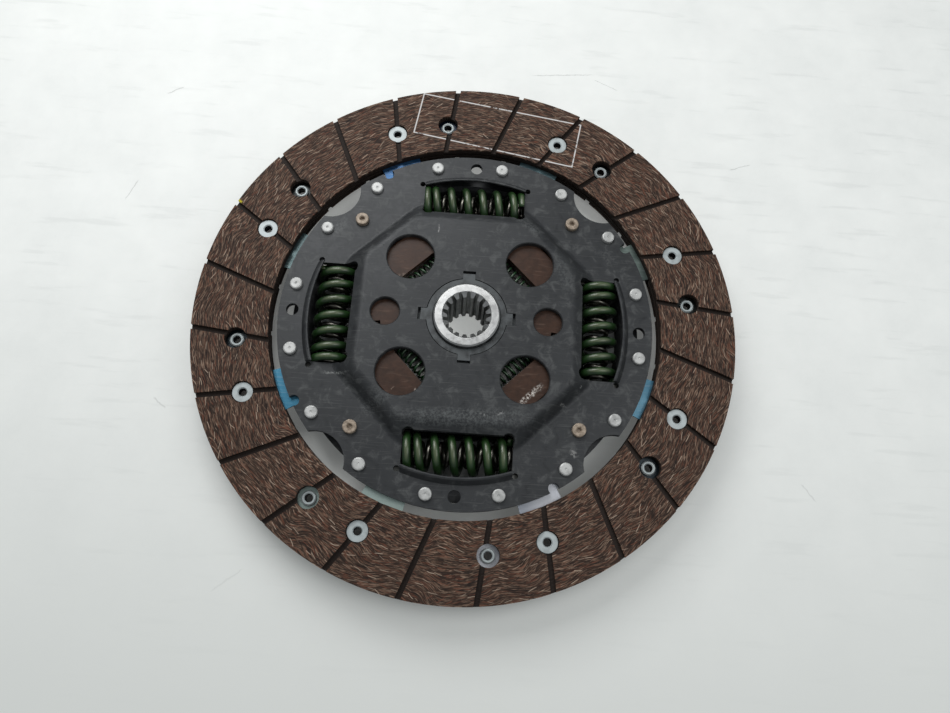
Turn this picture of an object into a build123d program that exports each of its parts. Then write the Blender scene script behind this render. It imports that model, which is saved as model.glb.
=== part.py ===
from build123d import *
import math
import os

# Sprung clutch disc with a two-stage torsion damper, in millimetres.
# The disc's axis is Z and the origin is the centre of the hub's rear end, which stands on the table.
# The front, with the raised drive plate, faces +Z. The four spring windows lie on the X and Y axes.

# Friction facings
facing_od = 228.0
facing_id = 165.0
facing_thickness = 3.4
cushion_gap = 1.2
face_height = 18.9
groove_count = 24
groove_width = 2.2
groove_depth = 1.7
groove_slant = 14.0

# Rivets that hold the facings
facing_rivet_count = 8
facing_rivet_inset = 2.45
front_rivet_angle = 22.83
rear_rivet_angle = 8.75
facing_hole_d = 9.0
flange_d = 8.4
flange_thickness = 0.6
flange_recess = 1.0
facing_rivet_d = 4.6
facing_rivet_bore_d = 3.3
clinch_d = 5.9
clinch_height = 1.3
clinch_round = 0.5
flange_edge = 0.15
rivet_lead = 0.4
rivet_clearance = 0.05

# Cushion segments between the facings
segment_count = 8
segment_thickness = 0.7
segment_angle = 24.85
foot_lap = 3.6
foot_inset = 0.4
paddle_cover_inside = 0.8
paddle_cover_outside = 1.6
foot_half_angle = 13.3
neck_half_angle = 6.2
paddle_half_angle = 20.8
segment_corner_r = 2.5
neck_corner_r = 1.2
wave_start_inside = 1.5
wave_full_inside = 6.5
wave_clearance = 0.03

# Rivets that hold the segments to the drive plate
segment_rivet_count = 16
rivet_to_plate_edge = 5.1
segment_rivet_angle = 13.6
segment_rivet_d = 3.6
segment_rivet_head_d = 5.3
segment_rivet_head_height = 1.6
segment_rivet_tail_height = 1.2
segment_rivet_head_round = 0.6
segment_rivet_tail_round = 0.4
segment_rivet_mark_r = 0.55
segment_rivet_mark_depth = 0.35

# Pressed plates
plate_thickness = 2.5
plate_running_gap = 3.5
counter_edge = 9.5
front_rise = 6.05
rear_rise = 5.55
dome_foot = 54.5
dome_crest_side = 44.5
dome_crest_diagonal = 50.0
dome_corner_r = 12.0
bend_r = 2.5
plate_bore_r = 17.0
tab_notch_width = 5.4
tab_notch_r = 20.3
large_hole_r = 10.1
large_hole_circle_r = 35.9
small_hole_r = 6.05
small_hole_circle_r = 33.9
hole_edge_chamfer = 0.35
rim_hole_d = 5.2
rim_hole_inset = 5.7
rim_notch_r = 2.3
rim_notch_inset = 1.0
rim_notch_angle = 30.1
scallop_r = 12.7
scallop_reach = 6.3

# Windows and their lips
window_count = 4
window_inner = 48.4
window_length = 44.6
window_relief_r = 2.6
window_relief_overrun = 1.0
window_relief_side = 0.3
lip_joint_r = 70.2
lip_root_r = 68.8
lip_tip_r = 66.9
lip_edge_r = 65.6
lip_waist_r = 67.5
lip_under_r = 69.1
lip_height = 2.7
lip_edge_drop = 0.15
lip_waist_drop = 1.1
lip_edge_chamfer = 0.4
lip_end_hole_d = 2.4
lip_end_hole_circle_r = 67.9
lip_end_hole_angle = 20.3

# Stop pins
stop_angle = 48.0
stop_to_rivet = 8.7
stop_d = 7.0
stop_neck_d = 4.4
stop_head_d = 5.7
stop_head_height = 1.9
stop_head_round = 0.4
stop_dimple_d = 1.9
stop_dimple_depth = 1.6
stop_dimple_lead = 0.4

# Main damper springs
spring_circle_r = 56.2
outer_spring_od = 17.6
outer_wire_d = 3.4
outer_pitch = 6.85
inner_spring_od = 10.4
inner_wire_d = 2.0
inner_pitch = 4.2
outer_spring_phase = 20.0
spring_end_gap = 0.25
closed_gap = 0.2
ground_share = 0.22

# Hub flange
flange_plate_thickness = 4.0
stop_web = 4.6
plate_to_flange = 0.85
flange_window_inner = 46.9
flange_window_corner_r = 1.5
damper_angle = 8.0
stop_clearance = 0.3

# Hub and its teeth
hub_length = 26.2
hub_r = 13.8
hub_end_chamfer = 0.6
bore_minor_r = 8.15
bore_major_r = 10.0
bore_mouth_r = 10.3
bore_mouth_depth = 1.9
spline_count = 17
spline_root_width = 1.3
spline_tip_width = 1.75
spline_phase = -1.8
hub_tooth_count = 12
hub_tooth_r = 20.0
hub_tooth_root_r = 17.0
hub_tooth_half_angle = 5.0
free_play_angle = 5.0
play_clearance = 0.3
tooth_clearance = 0.3
hub_teeth_low = 10.0
plate_seat_r = 18.5
plate_key_clearance = 0.2

# Pre-damper
predamper_circle_r = 28.3
predamper_spring_od = 6.4
predamper_wire_d = 1.0
predamper_pitch = 2.75
predamper_window_length = 18.6
predamper_window_width = 7.3
predamper_window_corner_r = 0.8
predamper_window_count = 4
predamper_window_angle = 45.0
predamper_plate_r = 35.0
predamper_plate_thickness = 1.4
cover_r = 46.2
cover_half_side = 41.5
cover_bore_r = 22.9
base_bore_r = 20.5
cage_clearance = 0.3
cover_gap = 0.2
cover_chamfer = 0.8
cage_split_drop = 0.15
peg_d = 5.0
peg_circle_r = 40.0
peg_length = 3.0
peg_count = 8
peg_angle = 22.5
clip_angle = 8.4
clip_circle_r = 37.6
clip_hole_size = 3.6
clip_length = 2.2
clip_width = 2.6
clip_offset = 0.3
clip_recess = 0.8

# Bearings, washers and friction rings
running_clearance = 0.05
slide_gap = 0.1
ring_neck_r = 16.7
ring_collar_r = 22.5
ring_collar_height = 1.7
ring_tab_r = 19.1
ring_tab_width = 5.2
ring_drop = 0.2
ring_chamfer = 0.5
washer_clearance = 0.4
front_washer_outer_r = 19.3
rear_collar_r = 21.5
rear_collar_height = 1.4
rear_bush_proud = 0.4
thrust_washer_thickness = 1.3
wave_spring_thickness = 0.6
wave_spring_r = 20.0
friction_ring_inner_r = 22.5
friction_ring_outer_r = 40.6
friction_ring_thickness = 1.4
friction_ear_r = 46.0
friction_ear_width = 9.0
friction_ear_corner_r = 2.4
friction_peg_d = 5.0
friction_peg_circle_r = 43.2
friction_peg_clearance = 0.15
friction_peg_recess = 0.3
pressure_plate_thickness = 1.5
pressure_plate_outer_r = 40.2
cup_spring_inner_r = 24.0
cup_spring_outer_r = 40.0
cup_spring_thickness = 1.4

# Cutters reach past the faces they cut, and joined bodies overlap inside each other
past = 1.0
far_past = 60.0

# Radii that follow from the sizes above
facing_rivet_circle_r = (facing_od + facing_id) / 4 - facing_rivet_inset
drive_plate_r = facing_id / 2 - plate_running_gap
segment_rivet_circle_r = drive_plate_r - rivet_to_plate_edge
segment_foot_r = segment_rivet_circle_r - foot_lap
segment_foot_outer_r = drive_plate_r - foot_inset
paddle_inner_r = facing_id / 2 + paddle_cover_inside
segment_outer_r = facing_od / 2 - paddle_cover_outside
wave_start_r = facing_id / 2 + wave_start_inside
wave_full_r = facing_id / 2 + wave_full_inside
rim_hole_circle_r = drive_plate_r - rim_hole_inset
rim_notch_circle_r = drive_plate_r - rim_notch_inset
scallop_circle_r = drive_plate_r + scallop_reach
stop_circle_r = segment_rivet_circle_r - stop_to_rivet
counter_plate_r = stop_circle_r + counter_edge
flange_plate_r = stop_circle_r + stop_web

# Heights that follow from the sizes above
cushion_z = face_height - facing_thickness - cushion_gap / 2
rim_z = cushion_z + segment_thickness / 2
rim_top_z = rim_z + plate_thickness
front_dome_z = rim_z + front_rise
flange_z = rim_z - plate_to_flange - flange_plate_thickness / 2
flange_top_z = flange_z + flange_plate_thickness / 2
flange_bottom_z = flange_z - flange_plate_thickness / 2
counter_z = 2 * flange_z - rim_z
rear_dome_z = counter_z - rear_rise
rear_face_z = cushion_z - cushion_gap / 2 - facing_thickness
cover_top_z = front_dome_z - cover_gap
predamper_z = (flange_top_z + cover_top_z) / 2 - cage_split_drop
predamper_plate_z = predamper_z - predamper_plate_thickness / 2
hub_teeth_top = predamper_z + predamper_plate_thickness / 2


def ring(inner_r, outer_r, low_z, high_z):
    """Flat ring between two heights."""
    return extrude(Pos(0, 0, low_z) * (Circle(outer_r) - Circle(inner_r)), amount=high_z - low_z)


def disc(radius, low_z, high_z):
    """Round bar between two heights."""
    return extrude(Pos(0, 0, low_z) * Circle(radius), amount=high_z - low_z)


def drill(radius):
    """Cutter for a round hole right through a piece."""
    return disc(radius, -far_past, far_past)


def through(face):
    """Cutter for an opening of any outline right through a piece."""
    return extrude(face, amount=far_past, both=True)


def polar(radius, angle):
    """Place at a radius and an angle, turned to look outward."""
    return Rot(0, 0, angle) * Pos(radius, 0, 0)


def around(shape, count, start=0.0):
    """Copies of a shape at even angles about the axis."""
    return [Rot(0, 0, start + 360 / count * k) * shape for k in range(count)]


def sector(inner_r, outer_r, half_angle):
    """Flat ring sector that is symmetric about the X axis."""
    reach = outer_r + past
    side = reach * math.tan(math.radians(half_angle))
    wedge = Polygon((0, 0), (reach, side), (reach, -side), align=None)
    return (Circle(outer_r) - Circle(inner_r)) & wedge


def turned(*points):
    """Solid of revolution about Z from an outline of radius and height pairs."""
    return revolve(make_face(Polyline(*[(r, 0, z) for r, z in points], close=True)), Axis.Z)


def rounded_corner(r, z, size):
    """Outline points of a rounded top corner, from its side to its top."""
    near = size * (1 - math.sqrt(0.5))
    return [(r, z - size), (r - near, z - near), (r - size, z)]


# Facing with its friction face at height 0 and its back below
def facing():
    body = ring(facing_id / 2, facing_od / 2, -facing_thickness, 0)
    bar_length = facing_od - facing_id
    groove = Rot(0, 0, -groove_slant) * Box(bar_length, groove_width, 2 * groove_depth)
    grooves = around(Pos(facing_rivet_circle_r, 0, 0) * groove, groove_count, front_rivet_angle)
    seat = disc(facing_hole_d / 2, -flange_recess - flange_thickness, past)
    seat += drill(facing_rivet_d / 2 + rivet_clearance)
    open_hole = drill(facing_hole_d / 2)
    seats = around(Pos(facing_rivet_circle_r, 0, 0) * seat, facing_rivet_count, front_rivet_angle)
    holes = around(Pos(facing_rivet_circle_r, 0, 0) * open_hole, facing_rivet_count, rear_rivet_angle)
    return body - (grooves + seats + holes)


# The rear facing is the same moulding turned over, so its rivet seats meet the open holes of the front one
def turned_over(shape):
    return Rot(0, 0, front_rivet_angle + rear_rivet_angle) * Rot(180, 0, 0) * shape


# Tubular rivet with its flange in the facing's seat and its clinched end behind the segment
def facing_rivet():
    top = -flange_recess
    seat = top - flange_thickness
    grip = -facing_thickness - segment_thickness - 2 * wave_clearance
    end = grip - clinch_height
    bore = facing_rivet_bore_d / 2
    shank = facing_rivet_d / 2
    outline = [
        (bore, end + rivet_lead),
        (bore + rivet_lead, end),
        (clinch_d / 2 - clinch_round, end),
        (clinch_d / 2, end + clinch_round),
        (clinch_d / 2, grip),
        (shank, grip),
        (shank, seat),
        (flange_d / 2, seat),
        (flange_d / 2, top - flange_edge),
        (flange_d / 2 - flange_edge, top),
        (bore + rivet_lead, top),
        (bore, top - rivet_lead),
    ]
    return Pos(facing_rivet_circle_r, 0, 0) * turned(*outline)


# Segment sheet, flat at its foot and waved between the facings
def wave_face(amplitude):
    crest = facing_rivet_circle_r * math.sin(math.radians(front_rivet_angle - segment_angle))
    trough = facing_rivet_circle_r * math.sin(math.radians(rear_rivet_angle - segment_angle))
    half_wave = crest - trough
    stations = [(trough + half_wave * k, amplitude * (-1) ** (k + 1)) for k in range(-1, 4)]
    half = segment_thickness / 2
    top = Spline(*[(y, z + half) for y, z in stations], tangents=[(1, 0), (1, 0)])
    bottom = Spline(*[(y, z - half) for y, z in stations], tangents=[(1, 0), (1, 0)])
    ends = [Line(top @ 0, bottom @ 0), Line(top @ 1, bottom @ 1)]
    return make_face([top, bottom, *ends])


def cushion_segment():
    amplitude = (cushion_gap - segment_thickness) / 2 - wave_clearance
    sheet_inner_r = segment_foot_r * math.cos(math.radians(foot_half_angle)) - past
    at_start = Plane.YZ.offset(wave_start_r)
    at_full = Plane.YZ.offset(wave_full_r)
    flat = extrude(Plane.YZ.offset(sheet_inner_r) * wave_face(0.0), amount=wave_start_r - sheet_inner_r)
    rise = loft([at_start * wave_face(0.0), at_full * wave_face(amplitude)])
    wave = extrude(at_full * wave_face(amplitude), amount=segment_outer_r + past - wave_full_r)
    foot = sector(segment_foot_r, segment_foot_outer_r, foot_half_angle)
    neck = sector(segment_foot_r, paddle_inner_r + past, neck_half_angle)
    paddle = sector(paddle_inner_r, segment_outer_r, paddle_half_angle)
    foot = fillet(foot.vertices(), neck_corner_r)
    paddle = fillet(paddle.vertices(), segment_corner_r)
    outline = foot + neck + paddle
    sheet = (flat + rise + wave) & through(outline)
    rivet_hole = drill(segment_rivet_d / 2 + rivet_clearance)
    facing_hole = drill(facing_rivet_d / 2 + rivet_clearance)
    pitch = 360 / segment_rivet_count / 2
    holes = [polar(segment_rivet_circle_r, side * pitch) * rivet_hole for side in (-1, 1)]
    holes += [
        polar(facing_rivet_circle_r, angle - segment_angle) * facing_hole
        for angle in (front_rivet_angle, rear_rivet_angle)
    ]
    return Pos(0, 0, cushion_z) * (sheet - holes)


# Solid rivet through the drive plate and the segment's foot
def segment_rivet():
    head = segment_rivet_head_d / 2
    shank = segment_rivet_d / 2
    top = rim_top_z + segment_rivet_head_height
    under = cushion_z - segment_thickness / 2
    tail = under - segment_rivet_tail_height
    outline = [
        (0, tail),
        (head - segment_rivet_tail_round, tail),
        (head, tail + segment_rivet_tail_round),
        (head, under),
        (shank, under),
        (shank, rim_top_z),
        (head, rim_top_z),
        *rounded_corner(head, top, segment_rivet_head_round),
        (segment_rivet_mark_r, top),
        (0, top - segment_rivet_mark_depth),
    ]
    return Pos(segment_rivet_circle_r, 0, 0) * turned(*outline)


def octagon(side_reach, diagonal_reach, corner_r):
    """Eight-sided face with rounded corners, its sides facing the axes and the diagonals."""
    half = diagonal_reach * math.sqrt(2) - side_reach
    quarter = [(side_reach, -half), (side_reach, half)]
    corners = []
    for k in range(4):
        turn = math.radians(90 * k)
        for x, y in quarter:
            across = x * math.cos(turn) - y * math.sin(turn)
            along = x * math.sin(turn) + y * math.cos(turn)
            corners.append((across, along))
    face = Polygon(*corners, align=None)
    return fillet(face.vertices(), corner_r)


def dome(foot, crest_side, crest_diagonal, low_z, high_z):
    """Eight-sided raised middle between two heights."""
    low = Pos(0, 0, low_z) * octagon(foot, foot, dome_corner_r)
    high = Pos(0, 0, high_z) * octagon(crest_side, crest_diagonal, dome_corner_r)
    return loft([low, high])


def edges_at(shape, height, outer_r, inner_r=0.0):
    """Edges lying flat at a height whose distance from the axis is within a range."""
    found = []
    for edge in shape.edges():
        low, high = edge.bounding_box().min.Z, edge.bounding_box().max.Z
        reach = math.hypot((edge @ 0.5).X, (edge @ 0.5).Y)
        if abs(low - height) < 0.01 and abs(high - height) < 0.01 and inner_r < reach < outer_r:
            found.append(edge)
    return found


# Window opening from the straight inner edge out to the lip, with round corner reliefs
def window_cutter():
    opening = Pos((window_inner + lip_joint_r) / 2, 0) * Rectangle(lip_joint_r - window_inner, window_length)
    opening = opening & Circle(lip_joint_r)
    relief_x = window_inner + window_relief_r - window_relief_overrun
    relief_y = window_length / 2 + window_relief_side - window_relief_r
    reliefs = [Pos(relief_x, side * relief_y) * Circle(window_relief_r) for side in (-1, 1)]
    return through(opening + reliefs)


# Lip that stands up from the plate's outer face and leans in over the spring
def window_lip():
    tip_z = plate_thickness + lip_height
    outline = Polyline(
        (lip_joint_r, 0, 0),
        (lip_joint_r, 0, plate_thickness),
        (lip_root_r, 0, plate_thickness),
        (lip_tip_r, 0, tip_z),
        (lip_edge_r, 0, tip_z - lip_edge_drop),
        (lip_waist_r, 0, plate_thickness - lip_waist_drop),
        (lip_under_r, 0, 0),
        close=True,
    )
    face = make_face(outline)
    eased = chamfer(face.vertices().sort_by(Axis.X)[:2], lip_edge_chamfer)
    half_sweep = math.degrees(math.asin(window_length / 2 / lip_edge_r)) + 1
    swept = revolve(Rot(0, 0, -half_sweep) * eased, Axis.Z, 2 * half_sweep)
    return swept & through(Rectangle(2 * drive_plate_r, window_length))


# Pressed plate with its inner face at height 0 and its dome rising above
def pressed_plate(rim_r, rise):
    slope_side = math.atan2(rise, dome_foot - dome_crest_side)
    slope_diagonal = math.atan2(rise, dome_foot - dome_crest_diagonal)
    shift_side = plate_thickness * math.tan(slope_side / 2)
    shift_diagonal = plate_thickness * math.tan(slope_diagonal / 2)
    top = plate_thickness + rise
    widest = dome_foot / math.cos(math.radians(22.5))
    outside = disc(rim_r, 0, plate_thickness)
    outside += dome(dome_foot, dome_crest_side, dome_crest_diagonal, plate_thickness, top)
    outside = fillet(edges_at(outside, plate_thickness, widest), bend_r)
    outside = fillet(edges_at(outside, top, widest), bend_r + plate_thickness)
    inner_foot = dome_foot - shift_diagonal
    hollow = dome(inner_foot, dome_crest_side - shift_side, dome_crest_diagonal - shift_diagonal, 0, rise)
    hollow = fillet(edges_at(hollow, rise, widest), bend_r)
    plate = outside - hollow
    plate = fillet(edges_at(plate, 0, widest), bend_r + plate_thickness)
    plate -= around(window_cutter(), window_count)
    plate += around(window_lip(), window_count)
    cuts = []
    for side in (-1, 1):
        end_hole = polar(lip_end_hole_circle_r, side * lip_end_hole_angle) * drill(lip_end_hole_d / 2)
        cuts += around(end_hole, window_count)
    pin_hole = Pos(stop_circle_r, 0, 0) * drill(stop_neck_d / 2 + rivet_clearance)
    return plate - (cuts + around(pin_hole, window_count, stop_angle))


def eased_hole(radius, top):
    """Cutter for a hole whose upper edge is broken by a small chamfer."""
    low = top - hole_edge_chamfer
    wide = radius + hole_edge_chamfer
    return drill(radius) + turned((0, low), (radius, low), (wide, top), (wide, top + past), (0, top + past))


# Front plate, which carries the segments
def drive_plate():
    plate = Pos(0, 0, rim_z) * pressed_plate(drive_plate_r, front_rise)
    top = rim_top_z + front_rise
    cuts = [drill(plate_bore_r)]
    cuts += around(through(Pos(tab_notch_r / 2, 0) * Rectangle(tab_notch_r, tab_notch_width)), window_count)
    large = Pos(large_hole_circle_r, 0, 0) * eased_hole(large_hole_r, top)
    small = Pos(small_hole_circle_r, 0, 0) * eased_hole(small_hole_r, top)
    cuts += around(large, predamper_window_count, predamper_window_angle)
    cuts += around(small, 2)
    cuts += around(Pos(rim_hole_circle_r, 0, 0) * drill(rim_hole_d / 2), window_count)
    cuts += around(Pos(rim_notch_circle_r, 0, 0) * drill(rim_notch_r), window_count, rim_notch_angle)
    cuts += around(Pos(scallop_circle_r, 0, 0) * drill(scallop_r), window_count, stop_angle)
    rivet_hole = Pos(segment_rivet_circle_r, 0, 0) * drill(segment_rivet_d / 2 + rivet_clearance)
    cuts += around(rivet_hole, segment_rivet_count, segment_rivet_angle)
    return plate - cuts


# Rear plate, held to the front one by the stop pins
def counter_plate():
    plate = Pos(0, 0, counter_z) * mirror(pressed_plate(counter_plate_r, rear_rise), about=Plane.XY)
    peg_hole = Pos(friction_peg_circle_r, 0, 0) * drill(friction_peg_d / 2 + friction_peg_clearance)
    return plate - ([drill(plate_bore_r)] + around(peg_hole, 4, 45))


# Pin that joins the two plates and stops the damper
def stop_pin():
    front = rim_top_z + stop_head_height
    rear = counter_z - plate_thickness - stop_head_height
    neck = stop_neck_d / 2
    head = stop_head_d / 2
    outline = [
        (0, rear),
        (head - stop_head_round, rear),
        (head, rear + stop_head_round),
        (head, counter_z - plate_thickness),
        (neck, counter_z - plate_thickness),
        (neck, counter_z),
        (stop_d / 2, counter_z),
        (stop_d / 2, rim_z),
        (neck, rim_z),
        (neck, rim_top_z),
        (head, rim_top_z),
        *rounded_corner(head, front, stop_head_round),
        (stop_dimple_d / 2 + stop_dimple_lead, front),
        (stop_dimple_d / 2, front - stop_dimple_lead),
        (stop_dimple_d / 2, front - stop_dimple_depth),
        (0, front - stop_dimple_depth),
    ]
    return Pos(stop_circle_r, 0, 0) * turned(*outline)


# Coil spring about Z with closed and ground ends
def coil_spring(outside_d, wire_d, pitch, length, left_hand):
    coil_r = (outside_d - wire_d) / 2
    end_pitch = wire_d + closed_gap
    middle = length - 2 * ground_share * wire_d - 2 * end_pitch
    turns = middle / pitch
    hand = -1 if left_hand else 1
    start = Rot(0, 0, -hand * 180 * turns) * Pos(0, 0, -middle / 2)
    active_path = start * Helix(pitch, middle, coil_r, lefthand=left_hand)
    lower = Plane(active_path @ 0, z_dir=active_path % 0)
    upper = Plane(active_path @ 1, z_dir=active_path % 1)
    active = sweep(lower * Circle(wire_d / 2), path=active_path, is_frenet=True)
    end_path = Rot(0, 0, hand * 180 * turns) * Pos(0, 0, middle / 2) * Helix(
        end_pitch, end_pitch, coil_r, lefthand=left_hand
    )
    end = sweep(upper * Circle(wire_d / 2), path=end_path, is_frenet=True)
    spring = active + end + Rot(180, 0, 0) * end
    return spring & disc(outside_d, -length / 2, length / 2)


# A spring laid along the tangent at a radius, for the place on the X axis
def laid(spring, radius, height, phase):
    return Pos(radius, 0, height) * Rot(-90, 0, 0) * Rot(0, 0, phase) * spring


# Middle disc between the plates, driven by the springs
def hub_flange():
    low, high = flange_bottom_z, flange_top_z
    body = disc(flange_plate_r, low, high)
    depth = flange_plate_r + past - flange_window_inner
    window = Pos(flange_window_inner + depth / 2, 0) * Rectangle(depth, window_length)
    window = fillet(window.vertices().sort_by(Axis.X)[:2], flange_window_corner_r)
    windows = around(through(window), window_count)
    pin_r = stop_d / 2 + stop_clearance
    mouth_angle = damper_angle + math.degrees(math.asin(pin_r / stop_circle_r))
    notch = sector(stop_circle_r - pin_r, flange_plate_r + past, damper_angle)
    notch += [polar(stop_circle_r, side * damper_angle) * Circle(pin_r) for side in (-1, 1)]
    notch += sector(stop_circle_r, flange_plate_r + past, mouth_angle)
    notches = around(through(notch), window_count, stop_angle)
    tooth_gap = hub_tooth_half_angle + free_play_angle + play_clearance
    bore = drill(hub_tooth_root_r + tooth_clearance)
    spaces = around(through(sector(hub_r, hub_tooth_r + tooth_clearance, tooth_gap)), hub_tooth_count)
    peg_holes = around(Pos(peg_circle_r, 0, 0) * drill(peg_d / 2 + rivet_clearance), peg_count, peg_angle)
    return body - (windows + notches + [bore] + spaces + peg_holes)


# Splined hub with the teeth that carry the flange
def spline_space():
    half_tip = spline_tip_width / 2
    half_root = spline_root_width / 2
    profile = Polygon(
        (bore_minor_r - past, -half_tip),
        (bore_minor_r, -half_tip),
        (bore_major_r, -half_root),
        (bore_major_r, half_root),
        (bore_minor_r, half_tip),
        (bore_minor_r - past, half_tip),
        align=None,
    )
    return through(profile)


def hub():
    body = disc(hub_r, 0, hub_length)
    body = chamfer(body.edges().filter_by(GeomType.CIRCLE), hub_end_chamfer)
    body += disc(hub_tooth_root_r, hub_teeth_low, predamper_plate_z)
    tooth = sector(hub_r, hub_tooth_r, hub_tooth_half_angle)
    tooth = extrude(Pos(0, 0, hub_teeth_low) * tooth, amount=predamper_plate_z - hub_teeth_low)
    body += around(tooth, hub_tooth_count)
    seat = sector(hub_r, plate_seat_r, hub_tooth_half_angle)
    body += disc(hub_tooth_root_r, predamper_plate_z, hub_teeth_top)
    seat = extrude(Pos(0, 0, predamper_plate_z) * seat, amount=predamper_plate_thickness)
    body += around(seat, hub_tooth_count)
    mouth = turned(
        (0, hub_length + past),
        (bore_mouth_r, hub_length + past),
        (bore_mouth_r, hub_length),
        (bore_minor_r, hub_length - bore_mouth_depth),
        (0, hub_length - bore_mouth_depth),
    )
    rear_mouth = Pos(0, 0, hub_length) * Rot(180, 0, 0) * mouth
    cuts = [drill(bore_minor_r), mouth, rear_mouth]
    cuts += around(spline_space(), spline_count, 90 + spline_phase)
    return body - cuts


def predamper_windows():
    """Cutters for the small springs' windows, on the diagonals."""
    window = Pos(predamper_circle_r, 0) * Rectangle(predamper_window_width, predamper_window_length)
    window = fillet(window.vertices(), predamper_window_corner_r)
    return around(through(window), predamper_window_count, predamper_window_angle)


# Steel plate of the pre-damper, keyed on the hub
def predamper_plate():
    body = disc(predamper_plate_r, predamper_plate_z, hub_teeth_top)
    bore = drill(hub_tooth_root_r + running_clearance)
    key = sector(hub_r, plate_seat_r + running_clearance, hub_tooth_half_angle + plate_key_clearance)
    return body - (predamper_windows() + [bore] + around(through(key), hub_tooth_count))


def cage_outline():
    """Outline of the plastic cage, round at the diagonals and flat beside the spring windows."""
    square = Rectangle(2 * cover_half_side, 2 * cover_half_side)
    return Circle(cover_r) & square


def clip_pair(shape):
    """A shape at both clips, which stand beside the small holes of the drive plate."""
    return [Rot(0, 0, angle) * shape for angle in (-clip_angle, 180 + clip_angle)]


# Moulded base of the pre-damper cage, pegged to the flange
def predamper_base():
    low = flange_top_z
    body = extrude(Pos(0, 0, low) * (cage_outline() - Circle(base_bore_r)), amount=predamper_z - low)
    pocket = disc(predamper_plate_r + cage_clearance, predamper_plate_z - cage_clearance, predamper_z + past)
    body -= [pocket] + predamper_windows()
    peg = disc(peg_d / 2, low - peg_length, low + past)
    body += around(Pos(peg_circle_r, 0, 0) * peg, peg_count, peg_angle)
    clip_foot = predamper_z - cage_clearance
    clip_face = Pos(clip_circle_r + clip_offset, 0, clip_foot) * Rectangle(clip_length, clip_width)
    clip = extrude(clip_face, amount=cover_top_z - clip_recess - clip_foot)
    return body + clip_pair(clip)


# Moulded cover of the pre-damper cage, which shows through the drive plate's holes
def predamper_cover():
    low = predamper_z
    body = extrude(Pos(0, 0, low) * (cage_outline() - Circle(cover_bore_r)), amount=cover_top_z - low)
    body = chamfer(edges_at(body, cover_top_z, cover_r + past, cover_bore_r + past), cover_chamfer)
    pocket = disc(predamper_plate_r + cage_clearance, low - past, hub_teeth_top + cage_clearance)
    clip_hole = through(Pos(clip_circle_r, 0) * Rectangle(clip_hole_size, clip_hole_size))
    return body - ([pocket] + predamper_windows() + clip_pair(clip_hole))


# Tabbed ring that centres the hub in the drive plate
def front_bearing_ring():
    bore = hub_r + running_clearance
    top = rim_top_z + front_rise - ring_drop
    neck_low = front_dome_z - ring_collar_height
    neck = ring(bore, ring_neck_r, neck_low, top)
    collar = ring(bore, ring_collar_r, neck_low, front_dome_z)
    tab_length = ring_tab_r - ring_neck_r + past
    tab_face = Pos(ring_tab_r - tab_length / 2, 0, front_dome_z) * Rectangle(tab_length, ring_tab_width)
    body = neck + collar + around(extrude(tab_face, amount=top - front_dome_z), window_count)
    return chamfer(edges_at(body, top, bore + ring_chamfer), ring_chamfer)


# Thin washer between the hub's teeth and the bearing ring
def front_friction_washer():
    top = front_dome_z - ring_collar_height - slide_gap
    return ring(hub_r + washer_clearance, front_washer_outer_r, hub_teeth_top, top)


# Bush that centres the hub in the counter plate
def rear_bearing_bush():
    bore = hub_r + running_clearance
    low = rear_dome_z - plate_thickness + rear_bush_proud
    top = rear_dome_z + rear_collar_height
    return ring(bore, plate_bore_r - slide_gap, low, top) + ring(bore, rear_collar_r, rear_dome_z, top)


def rear_thrust_washer():
    return ring(hub_r + washer_clearance, hub_tooth_r, hub_teeth_low - thrust_washer_thickness, hub_teeth_low)


def cone_ring(inner_r, outer_r, inner_z, outer_z, thickness):
    """Conical washer of even height, given by its lower face."""
    upper = [(outer_r, outer_z + thickness), (inner_r, inner_z + thickness)]
    return turned((inner_r, inner_z), (outer_r, outer_z), *upper)


# Light cup spring between the bush and the thrust washer
def wave_spring():
    low = rear_dome_z + rear_collar_height
    high = hub_teeth_low - thrust_washer_thickness - slide_gap
    inner = hub_r + washer_clearance
    return cone_ring(inner, wave_spring_r, low, high - wave_spring_thickness, wave_spring_thickness)


# Friction ring against the flange, held from turning by its pegs
def rear_friction_ring():
    top = flange_bottom_z - slide_gap
    low = top - friction_ring_thickness
    body = ring(friction_ring_inner_r, friction_ring_outer_r, low, top)
    ear_length = friction_ear_r - friction_ring_outer_r + friction_ear_corner_r + past
    ear = RectangleRounded(ear_length, friction_ear_width, friction_ear_corner_r)
    ear = extrude(Pos(friction_ear_r - ear_length / 2, 0, low) * ear, amount=friction_ring_thickness)
    peg_low = rear_dome_z - plate_thickness + friction_peg_recess
    peg = Pos(friction_peg_circle_r, 0, 0) * disc(friction_peg_d / 2, peg_low, top)
    return body + around(ear + peg, 4, 45)


def pressure_plate():
    top = flange_bottom_z - slide_gap - friction_ring_thickness
    return ring(friction_ring_inner_r, pressure_plate_outer_r, top - pressure_plate_thickness, top)


# Cup spring that presses the friction ring against the flange
def cup_spring():
    high = flange_bottom_z - slide_gap - friction_ring_thickness - pressure_plate_thickness
    thickness = cup_spring_thickness
    return cone_ring(cup_spring_inner_r, cup_spring_outer_r, high - thickness, rear_dome_z, thickness)


def save(name, shape):
    """One file per piece, or per group of like fasteners."""
    export_step(shape, os.path.join("parts", name + ".step"))


def group(shapes):
    """Like fasteners as separate solids in one node."""
    return Compound(children=list(shapes))


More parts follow.
